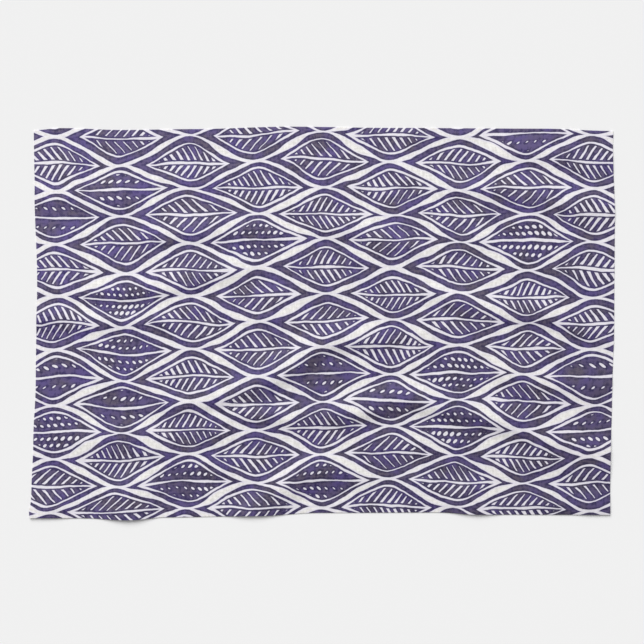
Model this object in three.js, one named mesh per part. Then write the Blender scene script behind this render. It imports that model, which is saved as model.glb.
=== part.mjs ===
import * as THREE from 'three';

// Tea towel: one woven cotton cloth, printed on its upper face, hemmed on its four sides and
// laid out on a table in soft folds. Millimetres, +Z up. The origin is on the table under the
// middle of the cloth, +X runs along its long sides and +Y towards its far long side.

// Cut size of the cloth
const CLOTH_LENGTH = 610;
const CLOTH_WIDTH = 406;
const CLOTH_THICKNESS = 1;

// The hem is a narrow turn to the back that is sewn flat, so the cloth is a little thicker there
const HEM_WIDTH = 8;
const HEM_STEP = 1.5;
const HEM_THICKNESS = 1.5;

// Cells of the cloth between the hems, finer across the folds than along them
const CELLS_ALONG = 40;
const CELLS_ACROSS = 50;

// Printed cotton, matt
const PRINT_COLOR = 0x564f6f;
const COTTON_ROUGHNESS = 0.92;

// How far each side of the laid cloth bows out of its cut rectangle. at is the place along the
// side, in x for the far and near sides and in y for the left and right ones.
const LEFT_SIDE = [
  { at: -203, out: 2.8 },
  { at: -194, out: 3.2 },
  { at: -187, out: 1.4 },
  { at: -176, out: 0.9 },
  { at: -123, out: -1.1 },
  { at: -60, out: -3.7 },
  { at: 46, out: -5.2 },
  { at: 130, out: -2.7 },
  { at: 203, out: -1.7 },
];
const RIGHT_SIDE = [
  { at: -203, out: -1.8 },
  { at: -154, out: -1.7 },
  { at: -81, out: 0.3 },
  { at: 4, out: 2.6 },
  { at: 119, out: 3.2 },
  { at: 182, out: 1.2 },
  { at: 203, out: 1.7 },
];
const FAR_SIDE = [
  { at: -305, out: 0.3 },
  { at: -276, out: 2.6 },
  { at: -213, out: 0.6 },
  { at: -137, out: 1.5 },
  { at: -36, out: 4.1 },
  { at: 78, out: 2.7 },
  { at: 229, out: 2 },
  { at: 305, out: -0.5 },
];
const NEAR_SIDE = [
  { at: -305, out: 1.9 },
  { at: -250, out: 2.1 },
  { at: -202, out: 4 },
  { at: -160, out: 1.1 },
  { at: -65, out: -0.2 },
  { at: -2, out: -3.6 },
  { at: 124, out: -4 },
  { at: 166, out: -1.7 },
  { at: 305, out: -1.5 },
];

// Folds of the laid cloth. rise is the height of the crest, far and near are the widths of the
// slopes on the two sides of it, peak is the share of the crest's length at which it is highest,
// and crest is the line that it follows, in x and y, from left to right or down to the near side.
const FOLDS = [
  { name: 'long diagonal', rise: 4.2, far: 32, near: 17, peak: 0.48,
    crest: [[-232, -90], [-150, -88], [-84, -73], [-30, -49], [6, -23], [66, -19], [176, -2]] },
  { name: 'lower sweep', rise: 4, far: 30, near: 17, peak: 0.52,
    crest: [[-124, -92], [-40, -97], [20, -98], [82, -84], [132, -92], [188, -106], [250, -128],
      [318, -142]] },
  { name: 'corner slope', rise: 2.8, far: 36, near: 34, peak: 0.62,
    crest: [[196, -122], [256, -138], [332, -146]] },
  { name: 'hem tent', rise: 3.4, far: 22, near: 30, peak: 0.45,
    crest: [[-122, -236], [-50, -182], [0, -150], [78, -176]] },
  { name: 'under sweep', rise: 2, far: 16, near: 14, peak: 0.5,
    crest: [[-128, -104], [-84, -97], [-40, -103], [6, -118]] },
  { name: 'upper right', rise: 3, far: 28, near: 24, peak: 0.62,
    crest: [[104, 140], [182, 140], [240, 129], [332, 110]] },
  { name: 'top right', rise: 1.4, far: 24, near: 19, peak: 0.6,
    crest: [[164, 186], [236, 177], [332, 166]] },
  { name: 'top middle', rise: 1, far: 20, near: 18, peak: 0.5,
    crest: [[66, 200], [118, 196], [162, 182]] },
  { name: 'left middle', rise: 2.6, far: 26, near: 15, peak: 0.6,
    crest: [[-338, 30], [-222, 30], [-158, 37], [-108, 50], [-44, 60]] },
  { name: 'left upper', rise: 2, far: 22, near: 16, peak: 0.6,
    crest: [[-246, 86], [-150, 94], [-104, 98], [-36, 94]] },
  { name: 'centre upper', rise: 2.2, far: 20, near: 16, peak: 0.4,
    crest: [[-24, 102], [34, 97], [70, 84], [124, 74]] },
  { name: 'right middle', rise: 3.4, far: 26, near: 18, peak: 0.5,
    crest: [[72, 48], [142, 22], [196, 10], [246, 2], [328, -32]] },
  { name: 'right lower', rise: 2.2, far: 22, near: 17, peak: 0.45,
    crest: [[164, -42], [236, -64], [330, -66]] },
  { name: 'left lower', rise: 1.8, far: 26, near: 22, peak: 0.5,
    crest: [[-286, -114], [-196, -128], [-74, -110]] },
  { name: 'left edge', rise: 2.6, far: 18, near: 16, peak: 0.32,
    crest: [[-344, 5], [-276, 4], [-228, 0], [-140, 4]] },
  { name: 'left top', rise: 1.5, far: 22, near: 17, peak: 0.4,
    crest: [[-344, 128], [-268, 130], [-206, 118]] },
  { name: 'short drop', rise: 1.5, far: 20, near: 18, peak: 0.5,
    crest: [[44, -120], [78, -132], [118, -128]] },
  { name: 'near middle', rise: 1.2, far: 20, near: 17, peak: 0.5,
    crest: [[78, -172], [112, -178], [150, -190]] },
  { name: 'near left', rise: 1.2, far: 20, near: 16, peak: 0.5,
    crest: [[-176, -150], [-130, -149], [-86, -160]] },
  { name: 'near right', rise: 1.4, far: 22, near: 20, peak: 0.5,
    crest: [[190, -184], [246, -186], [312, -194]] },
  { name: 'thin left', rise: 1.1, far: 13, near: 9, peak: 0.45,
    crest: [[-238, -62], [-200, -69], [-148, -78]] },
  { name: 'thin centre', rise: 1, far: 14, near: 10, peak: 0.6,
    crest: [[-92, 4], [-50, 4], [2, 1]] },
  { name: 'thin upper', rise: 0.9, far: 13, near: 9, peak: 0.5,
    crest: [[-164, 66], [-128, 68], [-96, 58]] },
  { name: 'left hem lift', rise: 3.8, far: 34, near: 34, peak: 0.62,
    crest: [[-195, -152], [-203, -188], [-205, -252]] },
  { name: 'right hem lift', rise: 2.6, far: 30, near: 32, peak: 0.62,
    crest: [[148, -158], [160, -188], [170, -248]] },
  { name: 'left corner', rise: 2, far: 30, near: 30, peak: 0.55,
    crest: [[-262, -178], [-296, -201], [-338, -230]] },
  { name: 'right corner', rise: 1.4, far: 28, near: 28, peak: 0.55,
    crest: [[266, -174], [296, -197], [336, -230]] },
];

// Steps that a crest is measured in, the share of the way from a fold's end to its peak at which it
// is as high as it gets, and the share of its full width that it keeps at its ends
const CREST_STEPS = 60;
const FULL_HEIGHT_SHARE = 0.62;
const TIP_WIDTH_SHARE = 0.4;

// Eases from 0 to 1 with no kink at either end.
function ease(share) {
  return THREE.MathUtils.smoothstep(share, 0, 1);
}

// How far a side bows out at a place along it, eased from row to row of its table.
function bow(side, place) {
  const last = side.length - 1;
  if (place <= side[0].at) return side[0].out;
  if (place >= side[last].at) return side[last].out;
  const next = side.findIndex((row) => row.at > place);
  const before = side[next - 1];
  const after = side[next];
  const share = (place - before.at) / (after.at - before.at);
  return THREE.MathUtils.lerp(before.out, after.out, ease(share));
}

// Where a place on the cut cloth comes to lie: each side's bow fades towards the opposite side.
function layOut(u, v) {
  const rightShare = u / CLOTH_LENGTH + 0.5;
  const farShare = v / CLOTH_WIDTH + 0.5;
  const x = u + rightShare * bow(RIGHT_SIDE, v) - (1 - rightShare) * bow(LEFT_SIDE, v);
  const y = v + farShare * bow(FAR_SIDE, u) - (1 - farShare) * bow(NEAR_SIDE, u);
  return new THREE.Vector2(x, y);
}

// The nearest place on a crest: how far away it is, on which side of the crest, and how far along.
function nearestOnCrest(place, crestLine) {
  const steps = crestLine.length - 1;
  let nearest = { distance: Infinity, isFar: true, along: 0 };
  for (let step = 0; step < steps; step += 1) {
    const start = crestLine[step];
    const run = crestLine[step + 1].clone().sub(start);
    const offset = place.clone().sub(start);
    const share = THREE.MathUtils.clamp(offset.dot(run) / run.lengthSq(), 0, 1);
    const distance = offset.distanceTo(run.clone().multiplyScalar(share));
    if (distance < nearest.distance) {
      nearest = { distance, isFar: run.cross(offset) > 0, along: (step + share) / steps };
    }
  }
  return nearest;
}

// The height that one fold adds: a smooth ridge that rises and falls along its crest.
function ridge(place, fold) {
  const { distance, isFar, along } = nearestOnCrest(place, fold.line);
  const wayToPeak = along < fold.peak ? along / fold.peak : (1 - along) / (1 - fold.peak);
  const swell = ease(wayToPeak / FULL_HEIGHT_SHARE);
  const fullWidth = isFar ? fold.far : fold.near;
  const width = fullWidth * THREE.MathUtils.lerp(TIP_WIDTH_SHARE, 1, swell);
  const out = Math.min(distance / width, 1);
  return fold.rise * swell * (1 - out * out) ** 2;
}

// One row or column of grid lines: the outer edge, both edges of the hem's step, then even cells.
function gridLines(size, cells) {
  const outer = [-size / 2, -size / 2 + HEM_WIDTH];
  const inner = -size / 2 + HEM_WIDTH + HEM_STEP;
  const even = Array.from({ length: cells + 1 }, (_, i) => inner - (2 * inner * i) / cells);
  return [...outer, ...even, ...outer.map((line) => -line).reverse()];
}

// The cloth: a flat slab on the grid, laid out to its bowed outline and lifted over its folds.
function makeCloth() {
  const columns = gridLines(CLOTH_LENGTH, CELLS_ALONG);
  const rows = gridLines(CLOTH_WIDTH, CELLS_ACROSS);
  const folds = FOLDS.map((fold) => {
    const curve = new THREE.SplineCurve(fold.crest.map(([x, y]) => new THREE.Vector2(x, y)));
    return { ...fold, line: curve.getPoints(CREST_STEPS) };
  });
  const spansAlong = columns.length - 1;
  const spansAcross = rows.length - 1;
  const cloth = new THREE.BoxGeometry(spansAlong, spansAcross, 1, spansAlong, spansAcross, 1);
  const points = cloth.attributes.position;
  for (let i = 0; i < points.count; i += 1) {
    const u = columns[Math.round(points.getX(i) + spansAlong / 2)];
    const v = rows[Math.round(points.getY(i) + spansAcross / 2)];
    const inset = Math.min(CLOTH_LENGTH / 2 - Math.abs(u), CLOTH_WIDTH / 2 - Math.abs(v));
    const thickness = inset <= HEM_WIDTH ? HEM_THICKNESS : CLOTH_THICKNESS;
    const place = layOut(u, v);
    const lift = folds.reduce((height, fold) => height + ridge(place, fold), 0);
    points.setXYZ(i, place.x, place.y, points.getZ(i) > 0 ? lift + thickness : lift);
  }
  cloth.computeBoundingBox();
  const middle = cloth.boundingBox.getCenter(new THREE.Vector3());
  cloth.translate(-middle.x, -middle.y, 0);
  cloth.computeVertexNormals();
  return cloth;
}

const printedCotton = new THREE.MeshStandardMaterial({
  color: PRINT_COLOR,
  roughness: COTTON_ROUGHNESS,
  metalness: 0,
});

const teaTowel = new THREE.Group();
const towelCloth = new THREE.Mesh(makeCloth(), printedCotton);
towelCloth.name = 'towel_cloth';
teaTowel.add(towelCloth);

export default teaTowel;
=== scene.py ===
# %% [markdown]
# # A printed tea towel, laid out on a table
# The object is one rectangle of cotton, hemmed on all four sides and then printed on its face. It
# lies on a table as it came out of somebody's hands, with soft folds that run mostly along it.
# The measured model comes first and everything else is built in its frame, in metres.

# %% The frame
import math

import bmesh
import bpy
import numpy as np
from mathutils import Matrix, Vector


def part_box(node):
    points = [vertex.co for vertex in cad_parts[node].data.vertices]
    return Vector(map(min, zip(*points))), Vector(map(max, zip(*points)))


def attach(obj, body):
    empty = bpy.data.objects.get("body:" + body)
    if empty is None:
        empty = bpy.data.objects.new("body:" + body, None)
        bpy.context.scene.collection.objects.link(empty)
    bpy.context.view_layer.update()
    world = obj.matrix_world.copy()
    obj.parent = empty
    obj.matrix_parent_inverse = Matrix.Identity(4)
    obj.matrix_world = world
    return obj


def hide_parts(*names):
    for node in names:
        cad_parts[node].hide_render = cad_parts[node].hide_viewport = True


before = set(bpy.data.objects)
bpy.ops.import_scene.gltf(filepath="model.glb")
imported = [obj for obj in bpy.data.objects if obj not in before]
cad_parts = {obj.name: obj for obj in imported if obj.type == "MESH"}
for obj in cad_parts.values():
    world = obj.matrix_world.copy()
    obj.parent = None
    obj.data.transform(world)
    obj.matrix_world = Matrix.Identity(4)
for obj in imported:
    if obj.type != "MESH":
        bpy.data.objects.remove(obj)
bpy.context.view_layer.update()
MM = 0.001
low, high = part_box("towel_cloth")
print("measured cloth:", [round((b - a) / MM, 1) for a, b in zip(low, high)], "mm")

# %% [markdown]
# ## Camera
# The towel is seen from straight above. A long lens from well up keeps its sides parallel, as a
# product picture does, and one pixel of the 644 pixel frame covers the same piece of table
# all over.

# %% Camera
FRAME_PIXELS = 644
MM_PER_PIXEL = 1.0528
LENS = 85.0
SENSOR = 36.0
VIEW_CENTRE = (0.0, 1.4 * MM)

view_width = FRAME_PIXELS * MM_PER_PIXEL * MM
camera_height = view_width * LENS / SENSOR
camera_data = bpy.data.cameras.new("camera")
camera_data.lens = LENS
camera_data.sensor_width = SENSOR
camera = bpy.data.objects.new("camera", camera_data)
camera.location = (*VIEW_CENTRE, camera_height)
bpy.context.scene.collection.objects.link(camera)
bpy.context.scene.camera = camera
print("camera", round(camera_height, 3), "m up, sees", round(view_width, 3), "m of table")

# %% [markdown]
# ## Helpers
# Colours are picked in sRGB, as a screen shows them, but a shader works in linear light, so one
# function turns them over. A second one adds a shader node with its settings and its links, which
# keeps a long node tree as readable as a sum. A third turns a finished bmesh into a piece.

# %% Colour helper
def linear(hex_colour):
    """An sRGB hex colour as the linear colour that a shader works in, with alpha."""
    channels = [int(hex_colour[i:i + 2], 16) / 255 for i in (1, 3, 5)]
    return [c / 12.92 if c <= 0.04045 else ((c + 0.055) / 1.055) ** 2.4 for c in channels] + [1.0]


print("middle grey is", round(linear("#808080")[0], 3), "in linear light")


# %% Node helper
def fill(tree, node, inputs):
    """Sets a node's inputs, which go by name or number. A socket is linked, a node is linked by
    its output in use, and anything else is the value."""
    for name, value in inputs.items():
        socket = next(s for i, s in enumerate(node.inputs) if name in (i, s.name) and s.enabled)
        if isinstance(value, bpy.types.Node):
            value = next(s for s in value.outputs if s.enabled)
        if isinstance(value, bpy.types.NodeSocket):
            tree.links.new(value, socket)
        else:
            socket.default_value = value


def add(tree, kind, inputs=None, **settings):
    """Adds a node of a kind to a tree, with its settings and then its inputs."""
    node = tree.nodes.new(kind)
    for name, value in settings.items():
        setattr(node, name, value)
    fill(tree, node, inputs or {})
    return node


# %% Piece helper
def make_piece(name, bm):
    """Turns a bmesh into an object of that name in the scene, and frees the bmesh."""
    mesh = bpy.data.meshes.new(name)
    bm.to_mesh(mesh)
    bm.free()
    piece = bpy.data.objects.new(name, mesh)
    bpy.context.scene.collection.objects.link(piece)
    print(name, len(mesh.polygons), "faces")
    return piece


# %% [markdown]
# ## Table and light
# The table is a plain pale board that goes on past every view. It lies a hair under the cloth, so
# that the two never share a surface. One big soft lamp shines from beyond the far side, a little
# to the left, so that each fold has a lit slope on its far side and a shaded one on its near side,
# and the pale room fills the shadows. A sun lamp does this: it is as strong at one end of the
# table as at the other, and its wide disc makes the soft edge of the shadows.

# %% Table
TABLE_SIZE = 60.0
TABLE_DROP = 0.05 * MM

bm = bmesh.new()
bmesh.ops.create_grid(bm, x_segments=1, y_segments=1, size=TABLE_SIZE / 2)
bmesh.ops.translate(bm, verts=bm.verts, vec=(0, 0, -TABLE_DROP))
table = make_piece("table_top", bm)

# %% Painted board
TABLE_COLOUR = "#ECECEC"

# Matt painted board: it gives the eye nothing but an even pale ground.
painted_board = bpy.data.materials.new("painted_board")
painted_board.use_nodes = True
tree = painted_board.node_tree
fill(tree, tree.nodes["Principled BSDF"],
     {"Base Color": linear(TABLE_COLOUR), "Roughness": 1.0, "Specular IOR Level": 0.0})
table.data.materials.append(painted_board)
print("table is", painted_board.name)

# %% Lamp
LAMP_AZIMUTH = math.radians(112)
LAMP_HEIGHT = math.radians(47)
LAMP_DISC = math.radians(48)
LAMP_STRENGTH = 3.0

lamp_data = bpy.data.lights.new("soft_lamp", "SUN")
lamp_data.energy = LAMP_STRENGTH
lamp_data.angle = LAMP_DISC
lamp = bpy.data.objects.new("soft_lamp", lamp_data)
towards_lamp = Vector((
    math.cos(LAMP_AZIMUTH) * math.cos(LAMP_HEIGHT),
    math.sin(LAMP_AZIMUTH) * math.cos(LAMP_HEIGHT),
    math.sin(LAMP_HEIGHT),
))
lamp.rotation_mode = "QUATERNION"
lamp.rotation_quaternion = towards_lamp.to_track_quat("Z", "Y")
bpy.context.scene.collection.objects.link(lamp)
print("lamp towards", [round(c, 2) for c in towards_lamp])

# %% Room light
ROOM_STRENGTH = 0.345

room = bpy.data.worlds.new("pale_room")
room.use_nodes = True
fill(room.node_tree, room.node_tree.nodes["Background"],
     {"Color": (1.0, 1.0, 1.0, 1.0), "Strength": ROOM_STRENGTH})
bpy.context.scene.world = room
bpy.context.scene.view_settings.view_transform = "Standard"
print("room light", ROOM_STRENGTH)

# %% [markdown]
# ## How the cloth lies
# Real cloth could be dropped on the table by a simulation, but then the folds fall where they
# like. These are placed one by one instead: each is a soft ridge along a crest, with its own height
# and its own width on each side, and the cloth's height at a place is the sum of them. Where no
# fold passes, the cloth lies flat. They are the folds of the measured solid, but the longest ones
# come down faster on their near side, which a fine mesh can show and the solid's coarse one can't.
# The four sides bow in and out by a few millimetres.

# %% Cut size and sides
CLOTH_LENGTH = 610.0
CLOTH_WIDTH = 406.0

# Place along the side, and how far the cloth stands out of its cut rectangle there, in mm
LEFT_SIDE = (
    (-203, 2.8), (-194, 3.2), (-187, 1.4), (-176, 0.9), (-123, -1.1), (-60, -3.7), (46, -5.2),
    (130, -2.7), (203, -1.7),
)
RIGHT_SIDE = ((-203, -1.8), (-154, -1.7), (-81, 0.3), (4, 2.6), (119, 3.2), (182, 1.2), (203, 1.7))
FAR_SIDE = (
    (-305, 0.3), (-276, 2.6), (-213, 0.6), (-137, 1.5), (-36, 4.1), (78, 2.7), (229, 2.0),
    (305, -0.5),
)
NEAR_SIDE = (
    (-305, 1.9), (-250, 2.1), (-202, 4.0), (-160, 1.1), (-65, -0.2), (-2, -3.6), (124, -4.0),
    (166, -1.7), (305, -1.5),
)

bows = [out for side in (LEFT_SIDE, RIGHT_SIDE, FAR_SIDE, NEAR_SIDE) for at, out in side]
print("sides bow from", min(bows), "to", max(bows), "mm")


# %% Laying out the outline
def ease(share):
    """Runs from 0 to 1 with no kink at either end."""
    share = np.clip(share, 0.0, 1.0)
    return share * share * (3 - 2 * share)


def bow(side, place):
    """How far a side bows out at places along it, eased from row to row of its table."""
    at, out = (np.array(column, float) for column in zip(*side))
    row = np.clip(np.searchsorted(at, place, side="right") - 1, 0, len(at) - 2)
    share = (place - at[row]) / (at[row + 1] - at[row])
    return out[row] + (out[row + 1] - out[row]) * ease(share)


def lay_out(flat):
    """Where places on the cut cloth come to lie on the table, in mm."""
    u, v = flat[:, 0], flat[:, 1]
    right_share = u / CLOTH_LENGTH + 0.5
    far_share = v / CLOTH_WIDTH + 0.5
    x = u + right_share * bow(RIGHT_SIDE, v) - (1 - right_share) * bow(LEFT_SIDE, v)
    y = v + far_share * bow(FAR_SIDE, u) - (1 - far_share) * bow(NEAR_SIDE, u)
    return np.stack([x, y], axis=1)


# %% Middle of the outline
OUTLINE_STEPS = 400

# The four sides of a unit square, from end to end
run = np.linspace(-0.5, 0.5, OUTLINE_STEPS)
end = np.full(OUTLINE_STEPS, 0.5)
sides = [np.stack(side, axis=1) for side in ((run, end), (run, -end), (end, run), (-end, run))]
outline = lay_out(np.concatenate(sides) * (CLOTH_LENGTH, CLOTH_WIDTH))
cloth_middle = (outline.min(axis=0) + outline.max(axis=0)) / 2
print("outline", np.round(np.ptp(outline, axis=0), 1), "mm, its middle at", np.round(cloth_middle, 2))

# %% Folds
# Rise of the crest, widths of its far and near slopes, where along it the crest is highest, and
# the line it follows on the table, in mm
FOLDS = {
    "long_diagonal": (
        4.2, 32, 13, 0.48,
        ((-232, -90), (-150, -88), (-84, -73), (-30, -49), (6, -23), (66, -19), (176, -2)),
    ),
    "lower_sweep": (
        4.0, 30, 13, 0.52,
        ((-124, -92), (-40, -97), (20, -98), (82, -84), (132, -92), (188, -106), (250, -128), (318, -142)),
    ),
    "corner_slope": (2.8, 36, 34, 0.62, ((196, -122), (256, -138), (332, -146))),
    "hem_tent": (3.4, 22, 25, 0.45, ((-122, -236), (-50, -182), (0, -150), (78, -176))),
    "under_sweep": (2.0, 16, 11, 0.50, ((-128, -104), (-84, -97), (-40, -103), (6, -118))),
    "upper_right": (3.0, 28, 21, 0.62, ((104, 140), (182, 140), (240, 129), (332, 110))),
    "top_right": (1.4, 24, 19, 0.60, ((164, 186), (236, 177), (332, 166))),
    "top_middle": (1.0, 20, 18, 0.50, ((66, 200), (118, 196), (162, 182))),
    "left_middle": (2.6, 26, 12, 0.60, ((-338, 30), (-222, 30), (-158, 37), (-108, 50), (-44, 60))),
    "left_upper": (2.0, 22, 14, 0.60, ((-246, 86), (-150, 94), (-104, 98), (-36, 94))),
    "centre_upper": (2.2, 20, 14, 0.40, ((-24, 102), (34, 97), (70, 84), (124, 74))),
    "right_middle": (3.4, 26, 14, 0.50, ((72, 48), (142, 22), (196, 10), (246, 2), (328, -32))),
    "right_lower": (2.2, 22, 15, 0.45, ((164, -42), (236, -64), (330, -66))),
    "left_lower": (1.8, 26, 22, 0.50, ((-286, -114), (-196, -128), (-74, -110))),
    "left_edge": (2.6, 18, 16, 0.32, ((-344, 5), (-276, 4), (-228, 0), (-140, 4))),
    "left_top": (1.5, 22, 17, 0.40, ((-344, 128), (-268, 130), (-206, 118))),
    "short_drop": (1.5, 20, 18, 0.50, ((44, -120), (78, -132), (118, -128))),
    "near_middle": (1.2, 20, 17, 0.50, ((78, -172), (112, -178), (150, -190))),
    "near_left": (1.2, 20, 16, 0.50, ((-176, -150), (-130, -149), (-86, -160))),
    "near_right": (1.4, 22, 20, 0.50, ((190, -184), (246, -186), (312, -194))),
    "thin_left": (1.1, 13, 9, 0.45, ((-238, -62), (-200, -69), (-148, -78))),
    "thin_centre": (1.0, 14, 10, 0.60, ((-92, 4), (-50, 4), (2, 1))),
    "thin_upper": (0.9, 13, 9, 0.50, ((-164, 66), (-128, 68), (-96, 58))),
    "left_hem_lift": (3.8, 34, 34, 0.62, ((-195, -152), (-203, -188), (-205, -252))),
    "right_hem_lift": (2.6, 30, 32, 0.62, ((148, -158), (160, -188), (170, -248))),
    "left_corner": (2.0, 30, 30, 0.55, ((-262, -178), (-296, -201), (-338, -230))),
    "right_corner": (1.4, 28, 28, 0.55, ((266, -174), (296, -197), (336, -230))),
}
print(len(FOLDS), "folds")

# %% Crests
CREST_STEPS = 60


def smooth_line(points):
    """A smooth line through a crest's points, cut into short straight steps."""
    points = np.array(points, float)
    last = len(points) - 1
    line = []
    for place in np.linspace(0, last, CREST_STEPS + 1):
        i = min(int(place), last - 1)
        t = place - i
        a, b, c, d = points[max(i - 1, 0)], points[i], points[i + 1], points[min(i + 2, last)]
        bend = 2 * b + (c - a) * t + (2 * a - 5 * b + 4 * c - d) * t ** 2
        line.append((bend + (3 * b - a - 3 * c + d) * t ** 3) / 2)
    return np.array(line)


def find_on_crest(places, line):
    """How far places are from a crest, on which side of it, and how far along it, from 0 to 1."""
    distance = np.full(len(places), np.inf)
    side = np.zeros(len(places))
    along = np.zeros(len(places))
    for step, (start, end) in enumerate(zip(line[:-1], line[1:])):
        run = end - start
        offset = places - start
        share = np.clip(offset @ run / (run @ run), 0, 1)
        away = np.linalg.norm(offset - share[:, None] * run, axis=1)
        nearer = away < distance
        distance[nearer] = away[nearer]
        side[nearer] = (run[0] * offset[:, 1] - run[1] * offset[:, 0])[nearer]
        along[nearer] = (step + share[nearer]) / CREST_STEPS
    return distance, side, along


# %% Height of the folds
# A fold is at its full height this share of the way from its end to its peak, and this share of
# its full width is left at its ends.
FULL_HEIGHT_SHARE = 0.62
TIP_WIDTH_SHARE = 0.4
HEIGHT_SAMPLES = 4000
SAMPLE_SEED = 1
LYING_FLAT = 0.05


def ridge(places, rise, far, near, peak, crest):
    """The height in mm that one fold gives to places on the table."""
    distance, side, along = find_on_crest(places, smooth_line(crest))
    way_to_peak = np.where(along < peak, along / peak, (1 - along) / (1 - peak))
    swell = ease(way_to_peak / FULL_HEIGHT_SHARE)
    width = np.where(side > 0, far, near) * (TIP_WIDTH_SHARE + (1 - TIP_WIDTH_SHARE) * swell)
    return rise * swell * (1 - np.clip(distance / width, 0, 1) ** 2) ** 2


def fold_height(places):
    """The height of the cloth over the table at places on it, in mm."""
    return sum(ridge(places, *fold) for fold in FOLDS.values())


half_cloth = np.array([CLOTH_LENGTH, CLOTH_WIDTH]) / 2
samples = np.random.default_rng(SAMPLE_SEED).uniform(-half_cloth, half_cloth, (HEIGHT_SAMPLES, 2))
sample_heights = fold_height(lay_out(samples))
print("highest fold", round(float(sample_heights.max()), 1), "mm; lying flat",
      round(float((sample_heights < LYING_FLAT).mean()), 2), "of the cloth")

# %% [markdown]
# ## The cloth's own relief
# Three small things come on top of the folds. The hem is a double turn to the back, so the cloth
# is two layers higher along its sides, and it comes down to the table a little way inside the hem.
# The stitches pull both faces of the hem in, in a shallow trough along their row. And cloth that
# has been folded away is never quite flat, so faint ripples run across it. They are a few seeded
# waves added together, and only what rises over a threshold is kept, so most of the cloth still
# lies flat.

# %% Hem
CLOTH_THICKNESS = 0.5
HEM_THICKNESS = 1.0
HEM_WIDTH = 8.0
HEM_SLOPE = 7.0
STITCH_INSET = 6.3
STITCH_DENT = 0.14
STITCH_TROUGH = 0.9


def edge_inset(flat):
    """How far inside the nearest side places on the cut cloth are, in mm."""
    return np.minimum(CLOTH_LENGTH / 2 - abs(flat[:, 0]), CLOTH_WIDTH / 2 - abs(flat[:, 1]))


def stitch_dent(flat):
    """How far in mm the stitches pull each face of the hem in."""
    return STITCH_DENT * ease(1 - np.abs(edge_inset(flat) - STITCH_INSET) / STITCH_TROUGH)


def thickness(flat):
    """Thickness of the cloth in mm: the hem is made of more layers."""
    layers = np.where(edge_inset(flat) <= HEM_WIDTH, HEM_THICKNESS, CLOTH_THICKNESS)
    return layers - 2 * stitch_dent(flat)


print("cloth", CLOTH_THICKNESS, "mm thick, hem", HEM_THICKNESS, "mm")

# %% Ripples
RIPPLE_COUNT = 16
RIPPLE_SEED = 7
RIPPLE_LENGTHS = (34.0, 95.0)
RIPPLE_TURN = math.radians(38)
RIPPLE_HEIGHT = 0.5
RIPPLE_THRESHOLD = 0.15
RIPPLE_INSET = 30.0

draw = np.random.default_rng(RIPPLE_SEED)
ripple_turns = draw.uniform(-RIPPLE_TURN, RIPPLE_TURN, RIPPLE_COUNT)
ripple_numbers = 2 * math.pi / draw.uniform(*RIPPLE_LENGTHS, RIPPLE_COUNT)
ripple_starts = draw.uniform(0, 2 * math.pi, RIPPLE_COUNT)


def ripple_height(places):
    """The height in mm of the faint ripples at places on the table."""
    across = np.stack([np.sin(ripple_turns), np.cos(ripple_turns)]) * ripple_numbers
    waves = np.sin(places @ across + ripple_starts).sum(axis=1) / math.sqrt(RIPPLE_COUNT)
    return RIPPLE_HEIGHT * np.clip(waves - RIPPLE_THRESHOLD, 0, None)


print("highest ripple", round(float(ripple_height(samples).max()), 2), "mm")

# %% [markdown]
# ## From the flat cut to the table
# Everything that belongs to the cloth is built flat first, as a maker lays it on the bench, with
# u and v in millimetres and its third coordinate measured from the printed face. Then one
# function moves it to where the cloth lies. The flat place is kept as a UV map in metres, which
# is what the print and the weave follow, so they bend with the folds as they do on real cloth.

# %% Laying out a flat piece
FLAT_MAP = "flat_place"


def top_height(flat):
    """The height in mm of the cloth's printed face over the table at places on the cut cloth."""
    places = lay_out(flat)
    inset = edge_inset(flat)
    bridge = ease(1 - (inset - HEM_WIDTH) / HEM_SLOPE)
    layers = CLOTH_THICKNESS + (HEM_THICKNESS - CLOTH_THICKNESS) * bridge
    ripples = ripple_height(places) * ease(inset / RIPPLE_INSET)
    return fold_height(places) + ripples + layers - stitch_dent(flat)


def lay_on_table(bm):
    """Moves a flat bmesh to where the cloth lies, in metres, and keeps its flat place as UVs."""
    flat_map = bm.loops.layers.uv.new(FLAT_MAP)
    for face in bm.faces:
        face.smooth = True
        for loop in face.loops:
            loop[flat_map].uv = loop.vert.co.xy * MM
    flat = np.array([v.co for v in bm.verts], float)
    places = lay_out(flat[:, :2]) - cloth_middle
    heights = top_height(flat[:, :2]) + flat[:, 2]
    for vert, (x, y), z in zip(bm.verts, places, heights):
        vert.co = Vector((x, y, z)) * MM


print("printed face is", round(float(top_height(samples).max()), 1), "mm up at most")

# %% [markdown]
# ## The sheet
# A grid is the natural start for cloth. Its lines are moved so that they are close together where
# the hem turns, and even elsewhere. Solidify gives it a back, with its own material, and a vertex
# group tells it where the hem is thicker. One level of subdivision rounds the turned edge.

# %% Grid lines
CELL = 5.5

# How far in mm the first lines lie inside a side: at its turn, along the stitches, at the hem's
# inner edge, and down the slope to the table
HEM_LINES = (0, 0.5, 2.5, 5.4, 6.3, 7.2, 8.0, 8.6, 10.5, 13.0, 16.0)


def grid_lines(size):
    """Where the grid's lines lie along one side of the cut cloth, from end to end, in mm."""
    half = size / 2
    hem = np.array(HEM_LINES)
    cells = round((size - 2 * hem[-1]) / CELL)
    even = np.linspace(hem[-1] - half, half - hem[-1], cells + 1)[1:-1]
    return np.concatenate([hem - half, even, half - hem[::-1]])


columns = grid_lines(CLOTH_LENGTH)
rows = grid_lines(CLOTH_WIDTH)
print("grid of", len(columns) - 1, "by", len(rows) - 1, "cells")

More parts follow.
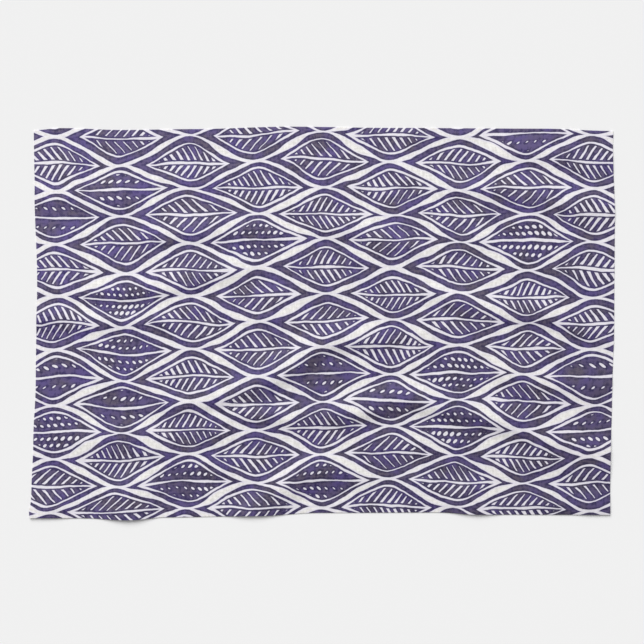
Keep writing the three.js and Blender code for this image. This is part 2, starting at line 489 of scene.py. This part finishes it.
# %% Cloth mesh
# A unit grid, whose lines then move to their places
bm = bmesh.new()
bmesh.ops.create_grid(bm, x_segments=len(columns) - 1, y_segments=len(rows) - 1, size=0.5)
for vert in bm.verts:
    vert.co.x = columns[round((vert.co.x + 0.5) * (len(columns) - 1))]
    vert.co.y = rows[round((vert.co.y + 0.5) * (len(rows) - 1))]
flat_places = np.array([v.co.xy for v in bm.verts], float)
lay_on_table(bm)
cloth = make_piece("printed_cloth", bm)

# %% Back and rounded edge
layers = cloth.vertex_groups.new(name="layers")
for index, share in enumerate(thickness(flat_places) / HEM_THICKNESS):
    layers.add([index], float(share), "REPLACE")
turn = cloth.modifiers.new("back", "SOLIDIFY")
turn.thickness = HEM_THICKNESS * MM
turn.offset = -1
turn.vertex_group = layers.name
turn.material_offset = 1
turn.material_offset_rim = 0
rounding = cloth.modifiers.new("rounding", "SUBSURF")
rounding.levels = rounding.render_levels = 1
print("cloth finished with", [modifier.name for modifier in cloth.modifiers])

# %% [markdown]
# ## The print
# The cloth is printed in one colour, and the pattern is what the printer left bare. It is a leaf
# trellis, an old kind of furnishing pattern: wavy lines cross the cloth side by side, meet and part
# again, and each eye between them holds a leaf. Colour images could carry it, but a pattern that is
# worked out from the flat place stays sharp at any size. Every shape here is a distance in
# millimetres, less half a line's width. The smallest of them says how far inside the print a
# place is, which the ink needs too, because it lies differently at the edges of its marks.

# %% Wavering hand
# The block was cut by hand, so its lines waver over a hand's breadth and are rough up close. Each
# row is the size of a sway and how far it goes, in mm.
WAVER = ((80.0, 15.0), (26.0, 3.0), (10.0, 1.3), (2.6, 0.5))


def waver(tree, place):
    """The place, moved to and fro by a few sways."""
    for size, sway in WAVER:
        noise = add(tree, "ShaderNodeTexNoise", {"Vector": place, "Scale": 1 / size, "Detail": 1.0})
        centred = add(tree, "ShaderNodeVectorMath", {0: noise.outputs["Color"], 1: (0.5, 0.5, 0.5)},
                      operation="SUBTRACT")
        place = add(tree, "ShaderNodeVectorMath", {0: centred, 1: (sway, sway, 0.0), 2: place},
                    operation="MULTIPLY_ADD")
    return place


# %% [markdown]
# ### Trellis lines
# Each eye is EYE_LENGTH long and EYE_HEIGHT high. Each row of eyes lies half an eye's height over
# the last and starts half a length further along, so the eyes cover the cloth with no overlap.
# Between two rows runs one wavy line. A plain cosine would make round eyes, so its arcsine is
# taken, which is more pointed the nearer EYE_POINT is to 1.

# %% Trellis line
EYE_LENGTH = 142.0
EYE_HEIGHT = 56.0
EYE_POINT = 0.86
HALF_WAVE = 2 * math.asin(EYE_POINT)


def trellis_line(tree, along, rise, odd):
    """The wavy line between this row of eyes and the next: how far it is in mm, the sine of where
    it is in its wave, and whether the place is above it."""
    turn = add(tree, "ShaderNodeMath", {0: along, 1: odd}, operation="SUBTRACT")
    angle = add(tree, "ShaderNodeMath", {0: turn, 1: math.pi}, operation="MULTIPLY")
    lean = add(tree, "ShaderNodeMath", {0: angle}, operation="SINE")
    swing = add(tree, "ShaderNodeMath", {0: angle}, operation="COSINE")
    pulled = add(tree, "ShaderNodeMath", {0: swing, 1: EYE_POINT}, operation="MULTIPLY")
    wave = add(tree, "ShaderNodeMath", {0: pulled}, operation="ARCSINE")
    line = add(tree, "ShaderNodeMath", {0: wave, 1: 1 / HALF_WAVE, 2: 0.5}, operation="MULTIPLY_ADD")
    off = add(tree, "ShaderNodeMath", {0: rise, 1: line}, operation="SUBTRACT")
    above = add(tree, "ShaderNodeMath", {0: off, 1: 0.0}, operation="GREATER_THAN")

    # The height over the line, and less than that where the line runs steeply
    bend = add(tree, "ShaderNodeMath", {0: pulled, 1: pulled}, operation="MULTIPLY")
    flatness = add(tree, "ShaderNodeMath", {0: 1.0, 1: bend}, operation="SUBTRACT")
    ease_off = add(tree, "ShaderNodeMath", {0: flatness}, operation="SQRT")
    steepness = add(tree, "ShaderNodeMath", {0: lean, 1: ease_off}, operation="DIVIDE")
    slope = add(tree, "ShaderNodeMath",
                {0: steepness, 1: math.pi * EYE_POINT / HALF_WAVE * EYE_HEIGHT / EYE_LENGTH},
                operation="MULTIPLY")
    length = add(tree, "ShaderNodeMath", {0: slope, 1: slope, 2: 1.0}, operation="MULTIPLY_ADD")
    root = add(tree, "ShaderNodeMath", {0: length}, operation="SQRT")
    height = add(tree, "ShaderNodeMath", {0: off}, operation="ABSOLUTE")
    ratio = add(tree, "ShaderNodeMath", {0: height, 1: root}, operation="DIVIDE")
    distance = add(tree, "ShaderNodeMath", {0: ratio, 1: EYE_HEIGHT / 2}, operation="MULTIPLY")
    return distance, lean, above


# %% Eye around a place
def eye_around(tree, along, rise, row, odd, above):
    """The eye that a place is in: the way from its middle in mm, along and up, and three chances
    that are drawn for that eye."""
    parity = add(tree, "ShaderNodeMath", {0: odd, 1: above}, operation="SUBTRACT")
    shifted = add(tree, "ShaderNodeMath", {0: parity}, operation="ABSOLUTE")
    start = add(tree, "ShaderNodeMath", {0: along, 1: shifted}, operation="SUBTRACT")
    count = add(tree, "ShaderNodeMath", {0: start, 1: 0.5, 2: 0.5}, operation="MULTIPLY_ADD")
    column = add(tree, "ShaderNodeMath", {0: count}, operation="FLOOR")
    part = add(tree, "ShaderNodeMath", {0: count}, operation="FRACT")
    eye_x = add(tree, "ShaderNodeMath", {0: part, 1: EYE_LENGTH, 2: -EYE_LENGTH / 2},
                operation="MULTIPLY_ADD")
    sunk = add(tree, "ShaderNodeMath", {0: rise, 1: above}, operation="SUBTRACT")
    eye_y = add(tree, "ShaderNodeMath", {0: sunk, 1: EYE_HEIGHT / 2}, operation="MULTIPLY")
    eye_row = add(tree, "ShaderNodeMath", {0: row, 1: above}, operation="ADD")
    cell = add(tree, "ShaderNodeCombineXYZ", {0: column, 1: eye_row})
    drawn = add(tree, "ShaderNodeTexWhiteNoise", {"Vector": cell}, noise_dimensions="2D")
    chances = add(tree, "ShaderNodeSeparateXYZ", {0: drawn.outputs["Color"]})
    return eye_x, eye_y, chances.outputs


# %% [markdown]
# ### Lines and leaves
# Line widths vary as a knife's do, thick and thin by turns. Each leaf has an outline, a rib along
# its middle, and either veins that taper from the rib and slant towards the tip, or seeds in rows.
# Its pitch, its slant and its room in the eye are drawn for it, so no two are quite alike.

# %% Drawing a line
HEAVY_HAND = (0.6, 1.5)
HAND_REACH = 34.0
HAND_RANGE = (0.3, 0.7)


def hand_weight(tree, place):
    """How heavy the hand is at a place, as a share of a line's usual width."""
    press = add(tree, "ShaderNodeTexNoise", {"Vector": place, "Scale": 1 / HAND_REACH, "Detail": 0.0})
    return add(tree, "ShaderNodeMapRange",
               {"Value": press, "From Min": HAND_RANGE[0], "From Max": HAND_RANGE[1],
                "To Min": HEAVY_HAND[0], "To Max": HEAVY_HAND[1]})


def outside(tree, gap, width, weight):
    """How far in mm a place lies outside a line that is drawn where gap is 0."""
    full = add(tree, "ShaderNodeMath", {0: weight, 1: width}, operation="MULTIPLY")
    return add(tree, "ShaderNodeMath", {0: full, 1: -0.5, 2: gap}, operation="MULTIPLY_ADD")


def cut_back(tree, mark, gap, margin):
    """The mark, kept only where the gap is more than the margin."""
    short = add(tree, "ShaderNodeMath", {0: margin, 1: gap}, operation="SUBTRACT")
    return add(tree, "ShaderNodeMath", {0: mark, 1: short}, operation="MAXIMUM")


# %% Leaf
# In mm: the leaf's room to the trellis, its outline and rib, the pitch and taper of its veins, its
# seeds, and the gap that its filling keeps. A pair holds the two limits. The slant is how far a
# vein goes along for each mm away from the rib, and the share is that of the leaves with seeds.
LEAF_INSET = (6.6, 9.4)
LEAF_LINE = 1.8
RIB_LINE = 2.0
VEIN_PITCH = (6.4, 10.4)
VEIN_SLANT = (-0.5, -1.1)
VEIN_LINE = (2.8, 0.9)
SEED_SIZE = 3.0
SEED_SHARE = 0.24
FILLING_GAP = 2.8


def leaf_filling(tree, eye_x, from_rib, chances, weight):
    """How far in mm a place lies outside the veins of its leaf, or its seeds."""
    pitch, slant = (
        add(tree, "ShaderNodeMapRange", {"Value": chances["Y"], "To Min": limits[0], "To Max": limits[1]})
        for limits in (VEIN_PITCH, VEIN_SLANT)
    )
    tip = add(tree, "ShaderNodeMath", {0: chances["X"], 1: 0.5}, operation="GREATER_THAN")
    side = add(tree, "ShaderNodeMath", {0: tip, 1: 2.0, 2: -1.0}, operation="MULTIPLY_ADD")
    forward = add(tree, "ShaderNodeMath", {0: eye_x, 1: side}, operation="MULTIPLY")
    back = add(tree, "ShaderNodeMath", {0: from_rib, 1: slant, 2: forward}, operation="MULTIPLY_ADD")
    half_pitch = add(tree, "ShaderNodeMath", {0: pitch, 1: 0.5}, operation="MULTIPLY")
    vein = add(tree, "ShaderNodeMath", {0: back, 1: half_pitch}, operation="PINGPONG")
    row_gap = add(tree, "ShaderNodeMath", {0: from_rib, 1: half_pitch}, operation="PINGPONG")
    gaps = add(tree, "ShaderNodeCombineXYZ", {0: vein, 1: row_gap})
    seed = add(tree, "ShaderNodeVectorMath", {0: gaps}, operation="LENGTH")
    seeded = add(tree, "ShaderNodeMath", {0: chances["Z"], 1: SEED_SHARE}, operation="LESS_THAN")
    vein_width = add(tree, "ShaderNodeMapRange",
                     {"Value": from_rib, "From Max": EYE_HEIGHT / 2 - LEAF_INSET[0],
                      "To Min": VEIN_LINE[0], "To Max": VEIN_LINE[1]})
    return add(tree, "ShaderNodeMix",
               {"Factor": seeded, "A": outside(tree, vein, vein_width, weight),
                "B": outside(tree, seed, SEED_SIZE, weight)}, data_type="FLOAT")


def leaf_marks(tree, distance, eye_x, eye_y, chances, weight):
    """How far in mm a place lies outside the outline, the filling and the rib of its leaf."""
    inset = add(tree, "ShaderNodeMapRange",
                {"Value": chances["Z"], "To Min": LEAF_INSET[0], "To Max": LEAF_INSET[1]})
    leaf_edge = add(tree, "ShaderNodeMath", {0: distance, 1: inset}, operation="SUBTRACT")
    leaf_gap = add(tree, "ShaderNodeMath", {0: leaf_edge}, operation="ABSOLUTE")
    from_rib = add(tree, "ShaderNodeMath", {0: eye_y}, operation="ABSOLUTE")
    filling = leaf_filling(tree, eye_x, from_rib, chances, weight)
    for gap in (leaf_edge, from_rib):
        filling = cut_back(tree, filling, gap, FILLING_GAP)
    rib = cut_back(tree, outside(tree, from_rib, RIB_LINE, weight), leaf_edge, 0.0)
    return outside(tree, leaf_gap, LEAF_LINE, weight), filling, rib


# %% Pattern group
TRELLIS_LINE = (2.6, 5.8)


def make_print_pattern():
    """A node group that gives how far inside the printed ground a flat place is, in mm. On the
    bare lines it is below 0."""
    tree = bpy.data.node_groups.new("leaf_trellis", "ShaderNodeTree")
    tree.interface.new_socket("place", in_out="INPUT", socket_type="NodeSocketVector")
    tree.interface.new_socket("inside_print", in_out="OUTPUT", socket_type="NodeSocketFloat")
    place = waver(tree, add(tree, "NodeGroupInput"))

    # Trellis coordinates: one unit is half an eye each way.
    unit = add(tree, "ShaderNodeVectorMath",
               {0: place, 1: (2 / EYE_LENGTH, 2 / EYE_HEIGHT, 0.0)}, operation="MULTIPLY")
    axes = add(tree, "ShaderNodeSeparateXYZ", {0: unit})
    along, up = axes.outputs["X"], axes.outputs["Y"]
    row = add(tree, "ShaderNodeMath", {0: up}, operation="FLOOR")
    rise = add(tree, "ShaderNodeMath", {0: up}, operation="FRACT")
    odd = add(tree, "ShaderNodeMath", {0: row, 1: 2.0}, operation="FLOORED_MODULO")
    distance, lean, above = trellis_line(tree, along, rise, odd)
    eye_x, eye_y, chances = eye_around(tree, along, rise, row, odd, above)

    # The trellis is narrow where two lines meet and wide between.
    weight = hand_weight(tree, place)
    narrow, wide = TRELLIS_LINE
    run_up = add(tree, "ShaderNodeMath", {0: lean, 1: lean}, operation="MULTIPLY")
    trellis_width = add(tree, "ShaderNodeMath", {0: run_up, 1: wide - narrow, 2: narrow},
                        operation="MULTIPLY_ADD")
    nearest = outside(tree, distance, trellis_width, weight)
    for mark in leaf_marks(tree, distance, eye_x, eye_y, chances, weight):
        nearest = add(tree, "ShaderNodeMath", {0: nearest, 1: mark}, operation="MINIMUM")
    add(tree, "NodeGroupOutput", {"inside_print": nearest})
    return tree


print_pattern = make_print_pattern()
print("pattern made with", len(print_pattern.nodes), "nodes")

# %% [markdown]
# ## Bleached cotton twill
# The ground cloth is a light cotton twill: its threads cross in steps, so the eye sees fine
# slanting ribs. They are about half a millimetre apart, which one pixel of the picture can't
# hold, so they are drawn 1.5 mm apart. The threads themselves are never of one thickness, and
# each thick stretch shows as a short streak along the cloth or across it. Two stretched noises
# give those. The group's output colours the cloth a little and is also the height for the bump.

# %% Weave group
RIB_PITCH = 1.5
RIB_SHARE = 0.25
RIB_WOBBLE = 1.2
WOBBLE_SCALE = 0.4
THREAD_SIZE = 2.3
THREAD_RUN = 7.0
THREAD_RANGE = (0.41, 0.59)


def make_twill():
    """A node group that gives the height of the weave at a flat place in mm, from 0 to 1."""
    tree = bpy.data.node_groups.new("cotton_twill", "ShaderNodeTree")
    tree.interface.new_socket("place", in_out="INPUT", socket_type="NodeSocketVector")
    tree.interface.new_socket("height", in_out="OUTPUT", socket_type="NodeSocketFloat")
    place = add(tree, "NodeGroupInput")
    # The wave runs along x + y, ten radians to a unit, so y is turned over to slant the ribs.
    step = 2 * math.pi / (10 * math.sqrt(2) * RIB_PITCH)
    slant = add(tree, "ShaderNodeVectorMath", {0: place, 1: (step, -step, 0.0)}, operation="MULTIPLY")
    ribs = add(tree, "ShaderNodeTexWave",
               {"Vector": slant, "Scale": 1.0, "Distortion": RIB_WOBBLE, "Detail": 1.0,
                "Detail Scale": WOBBLE_SCALE}, bands_direction="DIAGONAL")
    slubs = []
    for size in ((THREAD_RUN, THREAD_SIZE), (THREAD_SIZE, THREAD_RUN)):
        drawn_out = add(tree, "ShaderNodeVectorMath", {0: place, 1: (1 / size[0], 1 / size[1], 0.0)},
                        operation="MULTIPLY")
        slubs.append(add(tree, "ShaderNodeTexNoise", {"Vector": drawn_out, "Scale": 1.0, "Detail": 2.0}))
    both = add(tree, "ShaderNodeMix", {"Factor": 0.5, "A": slubs[0], "B": slubs[1]}, data_type="FLOAT")
    threads = add(tree, "ShaderNodeMapRange",
                  {"Value": both, "From Min": THREAD_RANGE[0], "From Max": THREAD_RANGE[1]})
    height = add(tree, "ShaderNodeMix", {"Factor": RIB_SHARE, "A": threads, "B": ribs.outputs["Fac"]},
                 data_type="FLOAT")
    add(tree, "NodeGroupOutput", {"height": height})
    return tree


twill = make_twill()
print("twill made with", len(twill.nodes), "nodes")

# %% [markdown]
# ## Printed cotton
# The ink is an indigo violet that the cloth drinks unevenly, so it is bluer here and greyer there.
# The block pushes it out to the edges of each printed place, where it is deeper. The bare lines
# are the bleached cotton itself, faintly tinted where the ink crept into its threads. Both print
# and cotton carry painted light: they are lighter towards the far left corner and darker towards
# the near right. The dried ink fills the fibres and is a little smoother than the cotton, which is
# why a fold shows more on the print than on the bare lines. Both sit on the same twill, which gives
# the eye a fine streaky grain.

# %% Ink
# Deep and pale ink, each between a grey and a blue
INK_DEEP_GREY = "#261C44"
INK_DEEP_BLUE = "#231455"
INK_GREY = "#554B60"
INK_BLUE = "#51437D"

# Sizes in mm of the clouds of blue and grey and of the streaks where the ink lies thin, with the
# part of each noise that they take
INK_CLOUD = 22.0
CLOUD_RANGE = (0.36, 0.64)
INK_STREAK = 5.0
STREAK_STRETCH = (0.6, 1.0, 1.0)
STREAK_RANGE = (0.32, 0.68)
STREAK_ROUGHNESS = 0.6

# Between the first two distances in mm from the edge of the print, the thinness of the ink runs
# from the one amount to the other. Streaks, clouds and the weave's grain then each add a share.
INK_POOL = (0.4, 3.2)
INK_SPREAD = (-1.05, 0.0)
INK_STREAKY = 0.5
INK_CLOUDY = 0.25
INK_GRAINY = 1.4


def lay_ink(tree, place, inside_print, weave):
    """The colour of the ink: deep at the edges of the print and in the gaps of the weave."""
    clouds = add(tree, "ShaderNodeTexNoise", {"Vector": place, "Scale": 1 / INK_CLOUD, "Detail": 3.0})
    hue = add(tree, "ShaderNodeMapRange",
              {"Value": clouds, "From Min": CLOUD_RANGE[0], "From Max": CLOUD_RANGE[1]})
    stretched = add(tree, "ShaderNodeVectorMath", {0: place, 1: STREAK_STRETCH}, operation="MULTIPLY")
    streaks = add(tree, "ShaderNodeTexNoise",
                  {"Vector": stretched, "Scale": 1 / INK_STREAK, "Detail": 3.0,
                   "Roughness": STREAK_ROUGHNESS})
    wet = add(tree, "ShaderNodeMapRange",
              {"Value": streaks, "From Min": STREAK_RANGE[0], "From Max": STREAK_RANGE[1]})
    thin = add(tree, "ShaderNodeMapRange",
               {"Value": inside_print, "From Min": INK_POOL[0], "From Max": INK_POOL[1],
                "To Min": INK_SPREAD[0], "To Max": INK_SPREAD[1]})
    for source, share in ((wet, INK_STREAKY), (hue, INK_CLOUDY), (weave, INK_GRAINY)):
        thin = add(tree, "ShaderNodeMath", {0: source, 1: share, 2: thin}, operation="MULTIPLY_ADD")
    deep, pale = (
        add(tree, "ShaderNodeMix", {"Factor": hue, "A": linear(grey), "B": linear(blue)}, data_type="RGBA")
        for grey, blue in ((INK_DEEP_GREY, INK_DEEP_BLUE), (INK_GREY, INK_BLUE))
    )
    return add(tree, "ShaderNodeMix", {"Factor": thin, "A": deep, "B": pale}, data_type="RGBA")


# %% Bare cotton
COTTON = "#F2F0ED"
COTTON_SHADE = "#D8D5D2"
INK_CREEP = 2.2
INK_TINT = "#DDD9E8"


def bare_cotton(tree, inside_print, weave):
    """The colour of the cotton: duller in the gaps of the weave, tinted next to the print."""
    creep = add(tree, "ShaderNodeMapRange",
                {"Value": inside_print, "From Min": -INK_CREEP, "From Max": 0.0})
    cotton = add(tree, "ShaderNodeMix",
                 {"Factor": weave, "A": linear(COTTON_SHADE), "B": linear(COTTON)}, data_type="RGBA")
    return add(tree, "ShaderNodeMix", {"Factor": creep, "A": cotton, "B": linear(INK_TINT)},
               data_type="RGBA")


# %% Cloth material
# Painted light: how much lighter the print and the cloth are made towards the far left corner,
# and darker towards the near right
PAINTED_LIGHT_ACROSS = (-0.45 / (CLOTH_LENGTH / 2), 0.6 / (CLOTH_WIDTH / 2), 0.0)
INK_PAINTED_LIGHT = 0.24
COTTON_PAINTED_LIGHT = 0.08

INK_EDGE = 0.3
INK_ROUGHNESS = 0.6
COTTON_ROUGHNESS = 0.9
COTTON_GLOSS = 0.5
COTTON_IOR = 1.5
COTTON_FUZZ = 0.05
FUZZ_ROUGHNESS = 0.5
WEAVE_DEPTH = 0.08 * MM


def make_cotton(name, print_strength):
    """Cotton twill with the print on it, at a strength from 0 to 1."""
    material = bpy.data.materials.new(name)
    material.use_nodes = True
    tree = material.node_tree
    flat_map = add(tree, "ShaderNodeUVMap", uv_map=FLAT_MAP)
    place = add(tree, "ShaderNodeVectorMath", {0: flat_map, 1: (1 / MM, 1 / MM, 0.0)},
                operation="MULTIPLY")
    inside_print = add(tree, "ShaderNodeGroup", node_tree=print_pattern)
    weave = add(tree, "ShaderNodeGroup", node_tree=twill)
    for group in (inside_print, weave):
        fill(tree, group, {"place": place})
    covered = add(tree, "ShaderNodeMapRange",
                  {"Value": inside_print, "From Min": -INK_EDGE, "From Max": INK_EDGE,
                   "To Max": print_strength}, interpolation_type="SMOOTHSTEP")

    # Painted light: each colour is scaled lighter towards the far left corner and darker towards the near
    # right.
    across = add(tree, "ShaderNodeVectorMath", {0: place, 1: PAINTED_LIGHT_ACROSS}, operation="DOT_PRODUCT")
    with_painted_light = []
    for colour, painted_light in ((lay_ink(tree, place, inside_print, weave), INK_PAINTED_LIGHT),
                         (bare_cotton(tree, inside_print, weave), COTTON_PAINTED_LIGHT)):
        share = add(tree, "ShaderNodeMath", {0: across, 1: painted_light, 2: 1.0}, operation="MULTIPLY_ADD")
        with_painted_light.append(add(tree, "ShaderNodeVectorMath", {0: colour, "Scale": share}, operation="SCALE"))
    ink, cotton = with_painted_light

    colour = add(tree, "ShaderNodeMix", {"Factor": covered, "A": cotton, "B": ink}, data_type="RGBA")
    roughness = add(tree, "ShaderNodeMapRange",
                    {"Value": covered, "To Min": COTTON_ROUGHNESS, "To Max": INK_ROUGHNESS})
    relief = add(tree, "ShaderNodeBump", {"Height": weave, "Strength": 1.0, "Distance": WEAVE_DEPTH})
    fill(tree, tree.nodes["Principled BSDF"],
         {"Base Color": colour, "Roughness": roughness, "Normal": relief, "IOR": COTTON_IOR,
          "Specular IOR Level": COTTON_GLOSS, "Sheen Weight": COTTON_FUZZ,
          "Sheen Roughness": FUZZ_ROUGHNESS})
    print(name, "made with", len(tree.nodes), "nodes")
    return material


# %% Face and back
SHOW_THROUGH = 0.1

# Printed cotton twill: matt and streaky, with the ink's faint satin on the print
cotton_face = make_cotton("printed_cotton_twill", 1.0)

# Bleached cotton twill: dull off-white, with a ghost of the print
cotton_back = make_cotton("bleached_cotton_twill", SHOW_THROUGH)
cloth.data.materials.append(cotton_face)
cloth.data.materials.append(cotton_back)
print("cloth has", [material.name for material in cloth.data.materials])

# %% [markdown]
# ## The hem's stitches
# The hem is sewn down with one row of lockstitch before the cloth is printed, so on the face the
# thread has the print on it and shows only as a row of small raised bars in a shallow dent. On
# the back it is white. A stitch is a tiny rounded bar with few faces, because there are hundreds.

# %% Stitches
STITCH_PITCH = 3.0
STITCH_SIZE = (2.4, 0.55, 0.24)
STITCH_RISE = 0.06
BAR_SEGMENTS = 8
BAR_RINGS = 6


def sew(name, level, material):
    """A row of stitches along each side of the cloth, level mm over the printed face there."""
    bm = bmesh.new()
    for quarter in range(4):
        length, width = (CLOTH_LENGTH, CLOTH_WIDTH) if quarter % 2 == 0 else (CLOTH_WIDTH, CLOTH_LENGTH)
        count = int((length - 2 * STITCH_INSET) / STITCH_PITCH)
        bar = bmesh.ops.create_uvsphere(bm, u_segments=BAR_SEGMENTS, v_segments=BAR_RINGS,
                                        radius=0.5)["verts"]
        bmesh.ops.rotate(bm, verts=bar, matrix=Matrix.Rotation(math.pi / 2, 3, "Y"))
        bmesh.ops.scale(bm, verts=bar, vec=STITCH_SIZE)
        first = (-(count - 1) * STITCH_PITCH / 2, STITCH_INSET - width / 2, level)
        bmesh.ops.translate(bm, verts=bar, vec=first)
        # A spin with no angle repeats the bar along a line.
        faces = list({face for vert in bar for face in vert.link_faces})
        bmesh.ops.spin(bm, geom=faces, dvec=(STITCH_PITCH, 0, 0), axis=(0, 0, 1), steps=count - 1,
                       use_duplicate=True)
        # The row that was just made is the one whose faces have no tag yet.
        row_verts = {vert for face in bm.faces if not face.tag for vert in face.verts}
        bmesh.ops.rotate(bm, verts=list(row_verts), matrix=Matrix.Rotation(quarter * math.pi / 2, 3, "Z"))
        for face in bm.faces:
            face.tag = True
    lay_on_table(bm)
    stitches = make_piece(name, bm)
    stitches.data.materials.append(material)
    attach(stitches, "root")
    return stitches


face_stitches = sew("hem_stitches_face", STITCH_RISE, cotton_face)

# %% Thread
THREAD_COLOUR = "#EFEEEC"
THREAD_ROUGHNESS = 0.8
TWISTS_PER_METRE = 3000.0
TWIST_STRENGTH = 0.5
TWIST_DEPTH = 0.05 * MM

# Soft-spun cotton thread: dull and a little whiter than the cloth
cotton_thread = bpy.data.materials.new("white_cotton_thread")
cotton_thread.use_nodes = True
tree = cotton_thread.node_tree
flat_map = add(tree, "ShaderNodeUVMap", uv_map=FLAT_MAP)
twist = add(tree, "ShaderNodeTexNoise", {"Vector": flat_map, "Scale": TWISTS_PER_METRE, "Detail": 1.0})
strands = add(tree, "ShaderNodeMix",
              {"Factor": twist, "A": linear(COTTON_SHADE), "B": linear(THREAD_COLOUR)}, data_type="RGBA")
thread_relief = add(tree, "ShaderNodeBump",
                    {"Height": twist, "Strength": TWIST_STRENGTH, "Distance": TWIST_DEPTH})
fill(tree, tree.nodes["Principled BSDF"],
     {"Base Color": strands, "Normal": thread_relief, "Roughness": THREAD_ROUGHNESS})
print(cotton_thread.name, "made with", len(tree.nodes), "nodes")

# %% Stitches on the back
# They lie in the trough of the hem's back, as the others do in that of its face.
back_level = 2 * STITCH_DENT - HEM_THICKNESS - STITCH_RISE
back_stitches = sew("hem_stitches_back", back_level, cotton_thread)

# %% [markdown]
# ## Into the frame
# The cloth stands for the measured solid, and the stitches go with it. The sheet's flat size is
# the cut size that the folds were laid out from.

# %% Declarations
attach(cloth, "root")
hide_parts("towel_cloth")
